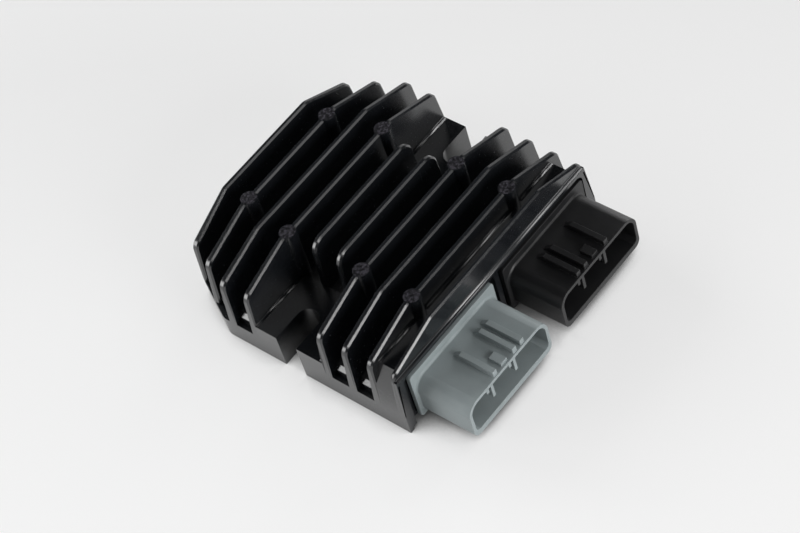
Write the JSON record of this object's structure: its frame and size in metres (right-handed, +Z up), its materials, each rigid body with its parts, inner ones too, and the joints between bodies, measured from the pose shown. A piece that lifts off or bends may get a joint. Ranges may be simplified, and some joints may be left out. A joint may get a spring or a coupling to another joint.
{
  "type": "voltage regulator rectifier",
  "caption": "Finned die-cast voltage regulator rectifier with two moulded blade sockets in one side, open mounting slots and a potted underside.",
  "frame": {"origin": "middle of the bounding box in plan, on the plane of the base ring", "axes": "+Z up from the base to the fin tops, +X the way the sockets open, Y along the fins"},
  "size_m": [0.1056, 0.0914, 0.0308],
  "materials": {
    "black_cast_coating": "semi-gloss black coating over die-cast aluminium",
    "grey_plastic": "fine matt moulding",
    "black_plastic": "fine matt moulding",
    "seal_rubber": "matt",
    "tinned_blade": "tin plate",
    "film": "matt",
    "board": "rolled",
    "screw_steel": "zinc plate",
    "device_plastic": "moulded epoxy",
    "copper": "bare copper",
    "ceramic": "fired",
    "potting": "cast resin"
  },
  "bodies": {
    "root": {"heat_sink": "black_cast_coating", "dc_connector_housing": "grey_plastic", "ac_connector_housing": "black_plastic", "dc_flange_seal": "seal_rubber", "ac_flange_seal": "seal_rubber", "dc_ground_blade": "tinned_blade", "dc_sense_blade": "tinned_blade", "dc_positive_blade": "tinned_blade", "phase_a_blade": "tinned_blade", "phase_b_blade": "tinned_blade", "phase_c_blade": "tinned_blade", "thermal_film": "film", "circuit_board": "board", "board_screws": "screw_steel", "high_side_transistor_a": "device_plastic", "high_side_transistor_b": "device_plastic", "high_side_transistor_c": "device_plastic", "low_side_transistor_a": "device_plastic", "low_side_transistor_b": "device_plastic", "low_side_transistor_c": "device_plastic", "positive_bus_bar": "copper", "negative_bus_bar": "copper", "control_ic": "device_plastic", "gate_resistors": "ceramic", "filter_capacitors": "ceramic", "clamp_diode": "device_plastic", "current_shunt": "copper", "temperature_sensor": "ceramic", "potting_compound": "potting"}
  },
  "joints": []
}
